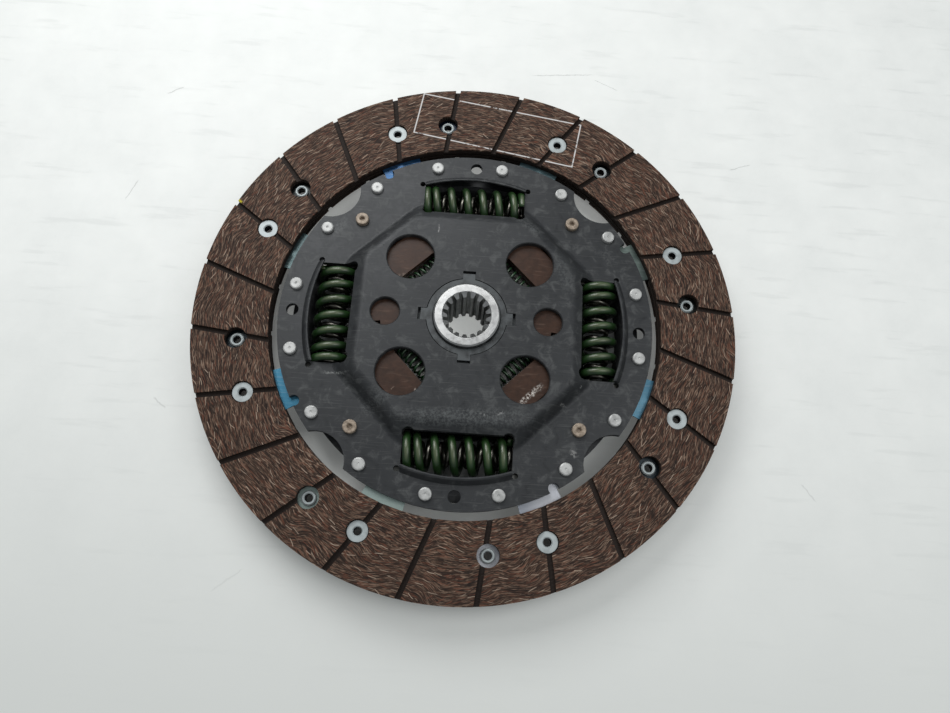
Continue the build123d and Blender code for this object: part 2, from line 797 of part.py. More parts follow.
def build():
    os.makedirs("parts", exist_ok=True)
    front = Pos(0, 0, face_height) * facing()
    rear = Pos(0, 0, rear_face_z) * turned_over(facing())
    save("facing_front", front)
    save("facing_rear", rear)
    segment = cushion_segment()
    for k, piece in enumerate(around(segment, segment_count, segment_angle)):
        save(f"cushion_segment_{k + 1}", piece)
    rivet = facing_rivet()
    front_rivets = around(Pos(0, 0, face_height) * rivet, facing_rivet_count, front_rivet_angle)
    save("facing_rivets_front", group(front_rivets))
    rear_rivets = [Pos(0, 0, rear_face_z + face_height) * turned_over(piece) for piece in front_rivets]
    save("facing_rivets_rear", group(rear_rivets))
    save("segment_rivets", group(around(segment_rivet(), segment_rivet_count, segment_rivet_angle)))
    save("drive_plate", drive_plate())
    save("counter_plate", counter_plate())
    save("stop_pins", group(around(stop_pin(), window_count, stop_angle)))

    length = window_length - 2 * spring_end_gap
    outer = coil_spring(outer_spring_od, outer_wire_d, outer_pitch, length, left_hand=False)
    inner = coil_spring(inner_spring_od, inner_wire_d, inner_pitch, length, left_hand=True)
    for k in range(window_count):
        turn = Rot(0, 0, 90 * k)
        save(f"outer_spring_{k + 1}", turn * laid(outer, spring_circle_r, flange_z, outer_spring_phase))
        save(f"inner_spring_{k + 1}", turn * laid(inner, spring_circle_r, flange_z, 0))

    save("hub_flange", hub_flange())
    save("hub", hub())
    save("predamper_base", predamper_base())
    save("predamper_cover", predamper_cover())
    save("predamper_plate", predamper_plate())
    small_length = predamper_window_length - 2 * spring_end_gap
    small = coil_spring(predamper_spring_od, predamper_wire_d, predamper_pitch, small_length, left_hand=False)
    for k in range(predamper_window_count):
        turn = Rot(0, 0, predamper_window_angle + 90 * k)
        save(f"predamper_spring_{k + 1}", turn * laid(small, predamper_circle_r, predamper_z, 0))
    save("front_bearing_ring", front_bearing_ring())
    save("front_friction_washer", front_friction_washer())
    save("rear_bearing_bush", rear_bearing_bush())
    save("rear_thrust_washer", rear_thrust_washer())
    save("wave_spring", wave_spring())
    save("rear_friction_ring", rear_friction_ring())
    save("pressure_plate", pressure_plate())
    save("cup_spring", cup_spring())


build()
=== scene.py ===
import bpy
import math
from mathutils import Matrix, Vector

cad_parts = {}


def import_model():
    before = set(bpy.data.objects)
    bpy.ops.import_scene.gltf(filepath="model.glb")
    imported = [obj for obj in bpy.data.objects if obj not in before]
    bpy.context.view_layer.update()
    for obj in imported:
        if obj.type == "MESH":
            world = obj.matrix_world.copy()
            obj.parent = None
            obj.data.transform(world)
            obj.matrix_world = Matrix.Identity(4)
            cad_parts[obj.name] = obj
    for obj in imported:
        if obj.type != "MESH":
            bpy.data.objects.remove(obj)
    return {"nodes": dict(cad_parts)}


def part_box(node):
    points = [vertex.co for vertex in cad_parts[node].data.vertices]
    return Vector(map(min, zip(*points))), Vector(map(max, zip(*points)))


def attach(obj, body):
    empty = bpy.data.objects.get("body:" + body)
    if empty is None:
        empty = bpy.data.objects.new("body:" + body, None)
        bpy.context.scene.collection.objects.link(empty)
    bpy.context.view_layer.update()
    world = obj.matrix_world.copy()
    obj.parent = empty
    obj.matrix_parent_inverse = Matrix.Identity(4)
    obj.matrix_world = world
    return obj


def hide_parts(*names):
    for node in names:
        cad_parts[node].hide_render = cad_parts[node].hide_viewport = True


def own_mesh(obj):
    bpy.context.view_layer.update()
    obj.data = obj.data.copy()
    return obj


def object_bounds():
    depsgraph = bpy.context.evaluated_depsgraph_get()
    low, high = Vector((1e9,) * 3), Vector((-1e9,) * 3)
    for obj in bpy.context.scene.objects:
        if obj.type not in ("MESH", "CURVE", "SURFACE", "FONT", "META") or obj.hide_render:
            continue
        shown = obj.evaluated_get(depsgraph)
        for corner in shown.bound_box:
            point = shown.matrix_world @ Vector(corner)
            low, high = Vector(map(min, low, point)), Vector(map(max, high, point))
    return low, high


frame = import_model()
nodes = frame["nodes"]
cad_low, cad_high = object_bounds()
mm = 0.001

# Camera, solved from the circles in the photograph
image_width = 950
focal_px = 714.0
sensor_mm = 36.0
camera_elevation = 72.722
camera_roll = 7.0396
disc_turn = -3.2
camera_at = (-0.28, -103.33, 301.27)

# Sizes that the looks need: lengths in millimetres, phases and twists in degrees
front_face_z = 18.9
rear_face_z = 10.9
groove_depth = 1.7
facing_middle_r = 98.0
facing_bore_r = 82.5
outer_wire_d = 3.4
outer_pitch = 6.85
outer_phases = (188.0, 109.0, 188.0, 4.0)
inner_wire_d = 2.0
inner_pitch = 4.2
small_wire_d = 1.0
small_pitch = 2.75
closed_gap = 0.2
ground_share = 0.22
coil_steps_per_turn = 44
wire_sides = 22

# Lean of the lining's fibres to either side of the tangent, in radians
fibre_spread = 0.8

# The printed frame on the facing, left without words: corners in millimetres
print_corners = ((-26.8, 110.5), (46.6, 99.8), (43.0, 77.4), (-29.8, 89.5))
print_line = 0.55

# Light that only the camera sees on the table: outside the disc, through the bore, and between the
# facings and the plates, where it grows towards the far side
outside_lift = 0.32
bore_lift = 0.4
ring_lift_near, ring_lift_far = 0.12, 0.3

# Strength of the light from all round, and what the camera sees of it on top
world_strength = 0.28
world_seen_extra = 0.55


def linear(red, green, blue):
    """Scene colour for the screen values of a colour."""
    def channel(value):
        value = value / 255
        return value / 12.92 if value <= 0.04045 else ((value + 0.055) / 1.055) ** 2.4
    return (channel(red), channel(green), channel(blue), 1.0)


class Look:
    """A material with one shader and the nodes that feed it."""

    def __init__(self, name, roughness, metallic=0.0):
        self.material = bpy.data.materials.new(name)
        self.material.use_nodes = True
        self.nodes = self.material.node_tree.nodes
        self.links = self.material.node_tree.links
        self.shader = self.nodes["Principled BSDF"]
        self.shader.inputs["Roughness"].default_value = roughness
        self.shader.inputs["Metallic"].default_value = metallic
        self.coords = self.nodes.new("ShaderNodeTexCoord").outputs["Object"]
        self.normal = None

    def put(self, socket, value):
        """Links an output, or sets a plain value."""
        if isinstance(value, bpy.types.NodeSocket):
            self.links.new(value, socket)
        else:
            socket.default_value = value

    def math(self, operation, first, second=0.0, third=None):
        node = self.nodes.new("ShaderNodeMath")
        node.operation = operation
        self.put(node.inputs[0], first)
        self.put(node.inputs[1], second)
        if third is not None:
            self.put(node.inputs[2], third)
        return node.outputs[0]

    def vector(self, operation, first, second=None, scale=None):
        node = self.nodes.new("ShaderNodeVectorMath")
        node.operation = operation
        self.put(node.inputs[0], first)
        if second is not None:
            self.put(node.inputs[1], second)
        if scale is not None:
            self.put(node.inputs["Scale"], scale)
        return node.outputs[0]

    def radius(self):
        """Distance from the disc's axis."""
        node = self.nodes.new("ShaderNodeVectorMath")
        node.operation = "LENGTH"
        self.put(node.inputs[0], self.vector("MULTIPLY", self.coords, (1.0, 1.0, 0.0)))
        return node.outputs["Value"]

    def split(self, value):
        node = self.nodes.new("ShaderNodeSeparateXYZ")
        self.put(node.inputs[0], value)
        return node.outputs

    def height(self):
        """Height in the shared frame."""
        return self.split(self.coords)[2]

    def upward(self):
        """How far the surface faces up, from -1 to 1."""
        return self.split(self.nodes.new("ShaderNodeNewGeometry").outputs["Normal"])[2]

    def turned(self, vector, angle):
        """A vector turned about the disc's axis by an angle in radians."""
        node = self.nodes.new("ShaderNodeVectorRotate")
        node.rotation_type = "Z_AXIS"
        self.put(node.inputs["Vector"], vector)
        self.put(node.inputs["Angle"], angle)
        return node.outputs[0]

    def noise(self, size_mm, detail=3.0, roughness=0.55, distortion=0.0, coords=None,
              colour=False):
        node = self.nodes.new("ShaderNodeTexNoise")
        self.put(node.inputs["Vector"], coords or self.coords)
        node.inputs["Scale"].default_value = 1 / (size_mm * mm)
        node.inputs["Detail"].default_value = detail
        node.inputs["Roughness"].default_value = roughness
        node.inputs["Distortion"].default_value = distortion
        return node.outputs["Color" if colour else "Fac"]

    def stretched(self, along, across, depth, turn):
        """Coordinates squeezed so that a noise of size 1 mm becomes streaks of these sizes."""
        node = self.nodes.new("ShaderNodeMapping")
        node.inputs["Rotation"].default_value = (0, 0, math.radians(turn))
        node.inputs["Scale"].default_value = (1 / along, 1 / across, 1 / depth)
        self.put(node.inputs["Vector"], self.coords)
        return node.outputs[0]

    def band(self, value, low, high):
        """0 below low, 1 above high, smooth between; low may be the larger."""
        node = self.nodes.new("ShaderNodeMapRange")
        node.interpolation_type = "SMOOTHSTEP"
        self.put(node.inputs["Value"], value)
        turned = low > high
        node.inputs["From Min"].default_value = min(low, high)
        node.inputs["From Max"].default_value = max(low, high)
        node.inputs["To Min"].default_value = 1.0 if turned else 0.0
        node.inputs["To Max"].default_value = 0.0 if turned else 1.0
        return node.outputs[0]

    def span(self, value, low, high):
        """A number from low to high as the value goes from 0 to 1."""
        return self.math("MULTIPLY_ADD", value, high - low, low)

    def mix(self, share, first, second):
        """A colour between two; the node's colours are sockets 6 and 7, and its result is 2."""
        node = self.nodes.new("ShaderNodeMix")
        node.data_type = "RGBA"
        self.put(node.inputs[0], share)
        self.put(node.inputs[6], first)
        self.put(node.inputs[7], second)
        return node.outputs[2]

    def laid(self, colour, mask, share, tint):
        """The colour with a tint laid over it, as strong as the mask times a share."""
        return self.mix(self.math("MULTIPLY", mask, share), colour, linear(*tint))

    def bump(self, height, depth_mm, strength):
        """Adds relief to what the surface already has."""
        node = self.nodes.new("ShaderNodeBump")
        node.inputs["Distance"].default_value = depth_mm * mm
        node.inputs["Strength"].default_value = strength
        self.put(node.inputs["Height"], height)
        if self.normal is not None:
            self.put(node.inputs["Normal"], self.normal)
        self.normal = node.outputs[0]

    def finish(self, colour, roughness=None):
        """Feeds the shader and gives the material."""
        self.put(self.shader.inputs["Base Color"], colour)
        if roughness is not None:
            self.put(self.shader.inputs["Roughness"], roughness)
        if self.normal is not None:
            self.put(self.shader.inputs["Normal"], self.normal)
        return self.material


def stroke(look, centre, angle, length, width, ragged, taper=0.15):
    """Share of a mark: a ragged line at a place, in millimetres, seen along the axis."""
    shaken = look.vector("SUBTRACT", look.noise(2.2, detail=4.0, colour=True), (0.5, 0.5, 0.5))
    moved = look.vector("ADD", look.coords, look.vector("SCALE", shaken, scale=ragged * mm * 2))
    local = look.vector("SUBTRACT", moved, (centre[0] * mm, centre[1] * mm, 0))
    x, y, _ = look.split(look.turned(local, math.radians(-angle)))
    along = look.band(look.math("ABSOLUTE", x), length / 2 * mm, length * (0.5 - taper) * mm)
    across = look.band(look.math("ABSOLUTE", y), width * 0.75 * mm, width * 0.25 * mm)
    return look.math("MULTIPLY", along, across)


def flecked(look, centre, angle, length, width):
    """Share of a mark, broken into small flecks; these draw the plate's rubbed marks, scratches and
    bands of painted sheen, and the cover's painted highlights.
    """
    mark = stroke(look, centre, angle, length, width, ragged=1.1, taper=0.3)
    flecks = look.band(look.noise(0.9, detail=4.0, roughness=0.7), 0.44, 0.58)
    return look.math("MULTIPLY", mark, flecks)


def fibres(look, cell_mm, width_mm, share, seed, bend):
    """Share of short fibres: one in a share of the cells, lying near the tangent."""
    offset = look.vector("ADD", bend, (seed * 0.37, seed * 0.61, 0.0))
    cell = look.nodes.new("ShaderNodeTexVoronoi")
    cell.voronoi_dimensions = "2D"
    cell.inputs["Scale"].default_value = 1 / (cell_mm * mm)
    look.put(cell.inputs["Vector"], offset)
    red, green, blue = look.split(cell.outputs["Color"])
    local = look.vector("SUBTRACT", offset, cell.outputs["Position"])
    x, y, _ = look.split(look.coords)
    tangent = look.math("ADD", look.math("ARCTAN2", y, x), math.pi / 2)
    flow = look.span(look.noise(17.0, detail=1.0), -fibre_spread * 1.3, fibre_spread * 1.3)
    scatter = look.span(red, -fibre_spread * 0.45, fibre_spread * 0.45)
    angle = look.math("ADD", tangent, look.math("ADD", flow, scatter))
    lengthwise, sideways, _ = look.split(look.turned(local, look.math("MULTIPLY", angle, -1.0)))
    along = look.band(look.math("ABSOLUTE", lengthwise), cell_mm * 0.5 * mm, cell_mm * 0.3 * mm)
    across = look.band(look.math("ABSOLUTE", sideways), width_mm * mm, width_mm * 0.4 * mm)
    chosen = look.band(green, 1 - share, 1 - share + 0.02)
    strength = look.span(blue, 0.35, 1.0)
    shape = look.math("MULTIPLY", along, across)
    return look.math("MULTIPLY", shape, look.math("MULTIPLY", chosen, strength))


def streaks(look, along, across, sway, seed):
    """Noise drawn out along the tangent, in millimetres, that sways to and from the axis."""
    flat = look.vector("MULTIPLY", look.coords, (1.0, 1.0, 0.0))
    x, y, _ = look.split(look.vector("NORMALIZE", flat))
    bend = look.span(look.noise(13.0, detail=0.0), -sway * mm, sway * mm)
    reach = look.math("ADD", look.radius(), bend)
    joined = look.nodes.new("ShaderNodeCombineXYZ")
    stretch = facing_middle_r * mm / along
    look.put(joined.inputs[0], look.math("MULTIPLY", x, stretch))
    look.put(joined.inputs[1], look.math("MULTIPLY_ADD", y, stretch, seed * 0.37))
    look.put(joined.inputs[2], look.math("MULTIPLY", reach, 1 / across))
    return look.noise(1.0, detail=2.0, roughness=0.6, coords=joined.outputs[0])


def printed_frame(look):
    """Share of the white printed frame: four straight lines on the front face."""
    total = None
    for k in range(4):
        (x0, y0), (x1, y1) = print_corners[k], print_corners[(k + 1) % 4]
        angle = math.degrees(math.atan2(y1 - y0, x1 - x0))
        length = math.hypot(x1 - x0, y1 - y0)
        middle = ((x0 + x1) / 2, (y0 + y1) / 2)
        length += print_line
        line = stroke(look, middle, angle, length, print_line, ragged=0.06, taper=0.005)
        total = line if total is None else look.math("MAXIMUM", total, line)
    wear_and_highlight_tint = look.band(look.noise(3.0, detail=5.0, roughness=0.7), 0.36, 0.46)
    on_face = look.band(look.height(), (front_face_z - 0.4) * mm, (front_face_z - 0.1) * mm)
    return look.math("MULTIPLY", look.math("MULTIPLY", total, wear_and_highlight_tint), on_face)


def facing_look(name, face_z, outward, printed=False):
    """Moulded lining with short fibres that lie near the tangent, and grooves darkened with painted
    shade.
    """
    look = Look(name, 0.72)
    patch = look.noise(14.0, detail=3.0)
    fine = look.noise(0.7, detail=4.0, roughness=0.7)
    colour = look.mix(patch, linear(48, 33, 25), linear(67, 49, 38))
    colour = look.mix(look.band(fine, 0.35, 0.75), colour, linear(52, 39, 32))
    flow = streaks(look, 4.6, 0.42, 4.0, 1)
    ruddy = streaks(look, 4.0, 0.4, 4.0, 2)
    bright = streaks(look, 3.6, 0.3, 5.0, 3)
    colour = look.laid(colour, look.band(flow, 0.5, 0.66), 0.75, (126, 100, 83))
    colour = look.laid(colour, look.band(flow, 0.46, 0.34), 0.9, (28, 20, 17))
    colour = look.laid(colour, look.band(ruddy, 0.54, 0.68), 0.6, (122, 73, 54))
    colour = look.laid(colour, look.band(bright, 0.58, 0.68), 0.75, (168, 142, 122))
    swirl = look.vector("SUBTRACT", look.noise(8.0, detail=1.0, colour=True), (0.5, 0.5, 0.5))
    bend = look.vector("ADD", look.coords, look.vector("SCALE", swirl, scale=0.8 * mm))
    dark = fibres(look, 4.4, 0.3, 0.9, 1, bend)
    tan = fibres(look, 3.6, 0.2, 0.9, 2, bend)
    copper = fibres(look, 4.0, 0.22, 0.7, 3, bend)
    pale = fibres(look, 4.2, 0.17, 0.6, 4, bend)
    colour = look.laid(colour, dark, 0.7, (34, 25, 21))
    colour = look.laid(colour, tan, 0.6, (146, 118, 98))
    colour = look.laid(colour, copper, 0.55, (126, 76, 56))
    colour = look.laid(colour, pale, 0.85, (200, 178, 158))
    if printed:
        colour = look.mix(printed_frame(look), colour, linear(226, 224, 222))
        speck = stroke(look, (-103.0, 47.4), 60.0, 3.0, 2.2, ragged=0.6)
        colour = look.mix(speck, colour, linear(196, 182, 40))
    groove_low = face_z - outward * groove_depth * 0.8
    groove_high = face_z - outward * groove_depth * 0.2
    out_of_groove = look.band(look.height(), groove_low * mm, groove_high * mm)
    # Painted shade: inside the grooves the colour goes dark, as if in shadow.
    colour = look.mix(out_of_groove, linear(44, 35, 30), colour)
    relief = look.math("ADD", look.math("MULTIPLY", tan, 0.4), look.math("MULTIPLY", fine, 0.4))
    relief = look.math("ADD", relief, flow)
    relief = look.math("SUBTRACT", relief, look.math("MULTIPLY", dark, 0.5))
    look.bump(relief, 0.25, 0.7)
    look.shader.inputs["Specular IOR Level"].default_value = 0.3
    return look.finish(colour, look.span(fine, 0.58, 0.85))


def plate_look(name, marks=()):
    """Dark phosphated sheet steel, smudged, with light scratches and broad bands of painted sheen at
    given places.
    """
    look = Look(name, 0.42, 0.25)
    cloud = look.noise(24.0, detail=4.0, roughness=0.6)
    smear = look.noise(5.0, detail=5.0, roughness=0.65, distortion=0.6)
    grain = look.noise(0.22, detail=2.0)
    colour = look.mix(cloud, linear(46, 48, 50), linear(64, 66, 68))
    colour = look.laid(colour, look.band(smear, 0.5, 0.7), 0.55, (98, 100, 100))
    colour = look.laid(colour, look.band(smear, 0.44, 0.3), 0.5, (38, 39, 42))
    hair = look.noise(1.0, detail=3.0, coords=look.stretched(14.0, 0.25, 14.0, 38.0))
    colour = look.laid(colour, look.band(hair, 0.6, 0.7), 0.3, (122, 123, 122))
    for centre, angle, length, width, share, tint in marks:
        colour = look.laid(colour, flecked(look, centre, angle, length, width), share, tint)
    look.bump(grain, 0.02, 0.35)
    look.bump(smear, 0.05, 0.25)
    rough = look.span(look.band(smear, 0.3, 0.75), 0.38, 0.56)
    look.shader.inputs["Specular IOR Level"].default_value = 0.35
    return look.finish(colour, rough)


def steel_look(name, tone, roughness, ring_marks=True, metallic=1.0, stained=0.62,
               painted_shade_on_walls=False):
    """Stained steel, where asked with fine turning lines round the axis or with painted shade on its
    steep walls.
    """
    look = Look(name, roughness, metallic)
    stain = look.noise(3.5, detail=5.0, roughness=0.6)
    dark = tuple(channel * stained for channel in tone)
    colour = look.mix(look.band(stain, 0.3, 0.62), linear(*dark), linear(*tone))
    if painted_shade_on_walls:
        # Painted shade: steep walls are darkened as if in shadow.
        level = look.math("ABSOLUTE", look.upward())
        colour = look.mix(look.band(level, 0.1, 0.5), linear(26, 27, 30), colour)
    if ring_marks:
        rings = look.nodes.new("ShaderNodeTexNoise")
        rings.noise_dimensions = "1D"
        rings.inputs["Scale"].default_value = 1 / (0.25 * mm)
        rings.inputs["Detail"].default_value = 2.0
        look.put(rings.inputs["W"], look.math("ADD", look.radius(), look.height()))
        look.bump(rings.outputs["Fac"], 0.03, 0.25)
    rough = look.span(stain, roughness * 0.75, min(1.0, roughness * 1.35))
    return look.finish(colour, rough)


def temper_look(name, near, far, shade_share_under_facing):
    """Spring steel with a drifting temper colour, darkened under the facing with painted shade."""
    look = Look(name, 0.36, 0.5)
    drift = look.noise(22.0, detail=2.0)
    colour = look.mix(look.band(drift, 0.36, 0.64), linear(*near), linear(*far))
    wipe = look.noise(1.0, detail=3.0, coords=look.stretched(9.0, 0.6, 9.0, 20.0))
    colour = look.laid(colour, look.band(wipe, 0.5, 0.75), 0.15, (200, 208, 210))
    # Painted shade: under the facing the colour is darkened as if in shadow.
    under = look.band(look.radius(), (facing_bore_r + 0.5) * mm, (facing_bore_r + 3.5) * mm)
    painted_shade_tone = tuple(channel * shade_share_under_facing for channel in near)
    colour = look.mix(under, colour, linear(*painted_shade_tone))
    look.bump(wipe, 0.02, 0.3)
    return look.finish(colour, look.span(wipe, 0.22, 0.42))


def enamel_look(name, tone, wear_and_highlight_tint):
    """Semi-gloss paint on spring wire, rubbed in spots, with a painted highlight on its tops and
    painted shade on its undersides.
    """
    look = Look(name, 0.3)
    cloud = look.noise(6.0, detail=4.0)
    lighter = tuple(channel * 1.5 for channel in tone)
    colour = look.mix(look.band(cloud, 0.3, 0.7), linear(*tone), linear(*lighter))
    rub = look.noise(2.4, detail=6.0, roughness=0.7)
    colour = look.laid(colour, look.band(rub, 0.6, 0.7), 0.35, wear_and_highlight_tint)
    upward = look.upward()
    # Painted shade: the wire's undersides are darkened as if in shadow.
    colour = look.mix(look.band(upward, 0.5, -0.1), colour, linear(6, 12, 7))
    # Painted highlight: the wire's tops are lightened with the wear tint, as if lit from above.
    colour = look.laid(colour, look.band(upward, 0.8, 0.98), 0.5, wear_and_highlight_tint)
    look.bump(look.noise(0.6, detail=2.0), 0.03, 0.4)
    look.shader.inputs["Coat Weight"].default_value = 0.35
    look.shader.inputs["Coat Roughness"].default_value = 0.2
    return look.finish(colour, look.span(rub, 0.24, 0.45))


def moulding_look(name, tone, marks=()):
    """Filled brown plastic, mottled, with pale flecked marks where given, which paint glossy
    highlights.
    """
    look = Look(name, 0.36)
    mottle = look.noise(3.2, detail=5.0, roughness=0.65)
    darker = tuple(channel * 0.78 for channel in tone)
    colour = look.mix(look.band(mottle, 0.3, 0.7), linear(*darker), linear(*tone))
    flow = look.noise(1.0, detail=4.0, coords=look.stretched(7.0, 1.2, 7.0, -35.0))
    colour = look.laid(colour, look.band(flow, 0.56, 0.7), 0.3, (122, 98, 84))
    for centre, angle, length, width, share, tint in marks:
        colour = look.laid(colour, flecked(look, centre, angle, length, width), share, tint)
    look.bump(mottle, 0.06, 0.4)
    look.bump(look.noise(0.3, detail=2.0), 0.02, 0.4)
    look.shader.inputs["Specular IOR Level"].default_value = 0.25
    return look.finish(colour, look.span(flow, 0.28, 0.5))


def pin_look():
    """Cream passivated pin heads, lightly stained."""
    look = Look("stop_pin_coat", 0.45, 0.15)
    stain = look.noise(1.4, detail=5.0)
    colour = look.mix(look.band(stain, 0.35, 0.65), linear(140, 126, 110),
                      linear(182, 166, 148))
    look.bump(stain, 0.03, 0.4)
    return look.finish(colour, look.span(stain, 0.35, 0.6))


def shaded(piece, material):
    """One material on the whole piece."""
    piece.data.materials.clear()
    piece.data.materials.append(material)


def coil_mesh(name, outside_d, wire_d, pitch, length, hand):
    """Mesh of a coil about Z: a ring of points goes along the helix and is cut flat at the ends."""
    coil_r = (outside_d - wire_d) / 2
    end_pitch = wire_d + closed_gap
    middle = length - 2 * ground_share * wire_d - 2 * end_pitch
    open_turns = middle / pitch
    turns = open_turns + 2
    steps = int(turns * coil_steps_per_turn)
    verts = []
    for i in range(steps + 1):
        turned = turns * (i / steps - 0.5)
        past = max(0.0, abs(turned) - open_turns / 2)
        height = math.copysign(min(abs(turned), open_turns / 2) * pitch + past * end_pitch, turned)
        slope = (pitch if past == 0 else end_pitch) / (2 * math.pi * coil_r)
        angle = hand * 2 * math.pi * turned
        outward = Vector((math.cos(angle), math.sin(angle), 0))
        along = Vector((-math.sin(angle) * hand, math.cos(angle) * hand, slope)).normalized()
        upward = along.cross(outward) * (1 if hand > 0 else -1)
        centre = outward * coil_r + Vector((0, 0, height))
        for k in range(wire_sides):
            around = 2 * math.pi * k / wire_sides
            spoke = outward * math.cos(around) + upward * math.sin(around)
            point = centre + spoke * (wire_d / 2)
            point.z = max(-length / 2, min(length / 2, point.z))
            verts.append(point * mm)
    faces = []
    for i in range(steps):
        for k in range(wire_sides):
            a = i * wire_sides + k
            b = i * wire_sides + (k + 1) % wire_sides
            faces.append((a, b, b + wire_sides, a + wire_sides))
    faces.append(tuple(reversed(range(wire_sides))))
    last = steps * wire_sides
    faces.append(tuple(range(last, last + wire_sides)))
    mesh = bpy.data.meshes.new(name)
    mesh.from_pydata([tuple(v) for v in verts], [], faces)
    mesh.validate()
    mesh.polygons.foreach_set("use_smooth", [True] * len(mesh.polygons))
    return mesh


def place_spring(node, mesh, angle, phase, body, material):
    """The coil lies on the tangent where its CAD spring is, and moves with its body."""
    low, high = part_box(node)
    centre = (low + high) / 2
    turn = Matrix.Rotation(math.radians(angle), 4, "Z")
    lay = Matrix.Rotation(math.radians(-90), 4, "X") @ Matrix.Rotation(math.radians(phase), 4, "Z")
    piece = bpy.data.objects.new(node + "_coil", mesh.copy())
    bpy.context.scene.collection.objects.link(piece)
    piece.matrix_world = Matrix.Translation(centre) @ turn @ lay
    shaded(piece, material)
    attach(piece, body)
    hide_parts(node)
    return piece


def shorten(spring):
    """Gives the spring its own copy of its mesh."""
    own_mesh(spring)


def spring_sizes(node, angle):
    """Outside diameter and length, in millimetres, of a CAD spring on the tangent at an angle."""
    turn = Matrix.Rotation(math.radians(-angle), 3, "Z")
    points = [turn @ v.co for v in nodes[node].data.vertices]
    width = max(p.x for p in points) - min(p.x for p in points)
    length = max(p.y for p in points) - min(p.y for p in points)
    return width / mm, length / mm


# Marks: centre in millimetres, angle in degrees, length, width, share and tint; on the plate rubbed
# marks, scratches and bands of painted sheen, on the cover painted highlights
plate_marks = [
    ((-14.5, 39.0), 90.0, 5.0, 0.5, 0.6, (170, 170, 168)),
    ((16.0, -40.0), 20.0, 3.5, 1.2, 0.55, (190, 190, 188)),
    ((9.5, -41.0), -10.0, 4.0, 0.8, 0.5, (184, 184, 182)),
    ((41.5, -33.8), 5.0, 3.5, 0.8, 0.5, (176, 176, 174)),
    ((43.5, -25.5), 70.0, 2.5, 1.0, 0.7, (28, 28, 30)),
    ((48.5, -26.0), 0.0, 1.0, 1.0, 0.7, (186, 186, 184)),
    ((46.5, -53.0), -50.0, 5.0, 2.4, 0.6, (158, 158, 156)),
    # The broad, faint lighter bands below, 4 mm wide and more, are painted sheen on the plate.
    ((2.0, -42.5), 3.0, 70.0, 7.0, 0.4, (112, 116, 116)),
    ((24.0, 45.0), -40.0, 20.0, 5.0, 0.4, (112, 115, 115)),
    ((-52.0, -26.5), 0.0, 13.0, 1.0, 0.6, (150, 152, 150)),
    ((-34.0, -38.0), 40.0, 18.0, 6.0, 0.35, (110, 113, 113)),
    ((-20.0, 30.0), 75.0, 16.0, 5.0, 0.25, (104, 107, 107)),
    ((40.0, 22.0), -70.0, 22.0, 6.0, 0.3, (106, 110, 110)),
    ((-58.0, 40.0), 50.0, 12.0, 4.0, 0.35, (110, 112, 112)),
    ((60.0, 34.0), -55.0, 12.0, 4.0, 0.3, (106, 108, 108)),
    ((0.0, 62.0), 0.0, 44.0, 5.0, 0.25, (104, 106, 107)),
]
# Painted highlights: pale flecked glints on the glossy cover.
cover_highlight_marks = [
    ((28.0, -31.0), 45.0, 15.0, 2.0, 0.9, (222, 216, 208)),
    ((-28.0, -32.0), 60.0, 3.0, 0.4, 0.35, (176, 156, 140)),
    ((-19.0, -33.0), 70.0, 4.0, 0.6, 0.6, (206, 190, 178)),
    ((-29.0, 17.0), 20.0, 6.0, 2.0, 0.4, (170, 150, 136)),
]

# Segments: two temper tones, and the share of the first that is kept under the facing, where painted
# shade darkens it
temper = [
    ((122, 136, 130), (74, 88, 86), 0.25),
    ((58, 80, 88), (82, 106, 112), 0.3),
    ((26, 62, 108), (48, 98, 138), 0.4),
    ((100, 126, 126), (64, 82, 84), 0.2),
    ((62, 128, 158), (92, 154, 178), 0.2),
    ((178, 196, 190), (150, 174, 172), 0.9),
    ((206, 208, 214), (176, 182, 194), 0.95),
    ((70, 124, 152), (104, 152, 174), 0.25),
]

# Materials of the pieces that keep their solids
front_lining = facing_look("facing_front_lining", front_face_z, 1, printed=True)
shaded(nodes["facing_front"], front_lining)
shaded(nodes["facing_rear"], facing_look("facing_rear_lining", rear_face_z, -1))
for k, (near, far, shade_share_under_facing) in enumerate(temper):
    spring_steel = temper_look(f"segment_temper_{k + 1}", near, far, shade_share_under_facing)
    shaded(nodes[f"cushion_segment_{k + 1}"], spring_steel)
# The facing rivets get painted shade on their steep walls.
plated = steel_look("rivet_plated", (194, 203, 204), 0.45, ring_marks=False, metallic=0.25,
                    stained=0.88, painted_shade_on_walls=True)
for name in ("facing_rivets_front", "facing_rivets_rear"):
    shaded(nodes[name], plated)
riveted = steel_look("segment_rivet_steel", (206, 207, 205), 0.42, ring_marks=False, metallic=0.3,
                     stained=0.8)
shaded(nodes["segment_rivets"], riveted)
shaded(nodes["drive_plate"], plate_look("drive_plate_steel", plate_marks))
shaded(nodes["counter_plate"], plate_look("counter_plate_steel"))
shaded(nodes["stop_pins"], pin_look())
shaded(nodes["hub"], steel_look("hub_steel", (206, 207, 206), 0.3, stained=0.86))
shaded(nodes["hub_flange"], steel_look("flange_steel", (150, 150, 146), 0.4, ring_marks=False))
shaded(nodes["predamper_cover"], moulding_look("cover_plastic", (73, 50, 38), cover_highlight_marks))
shaded(nodes["predamper_base"], moulding_look("base_plastic", (74, 53, 43)))
shaded(nodes["predamper_plate"], steel_look("predamper_steel", (140, 138, 132), 0.38))
ring_steel = steel_look("bearing_ring_steel", (84, 88, 90), 0.45, metallic=0.3)
for name in ("front_bearing_ring", "rear_bearing_bush"):
    shaded(nodes[name], ring_steel)
washer = moulding_look("washer_plastic", (96, 84, 72))
for name in ("front_friction_washer", "rear_thrust_washer", "rear_friction_ring"):
    shaded(nodes[name], washer)
sheet = steel_look("washer_steel", (150, 150, 148), 0.36)
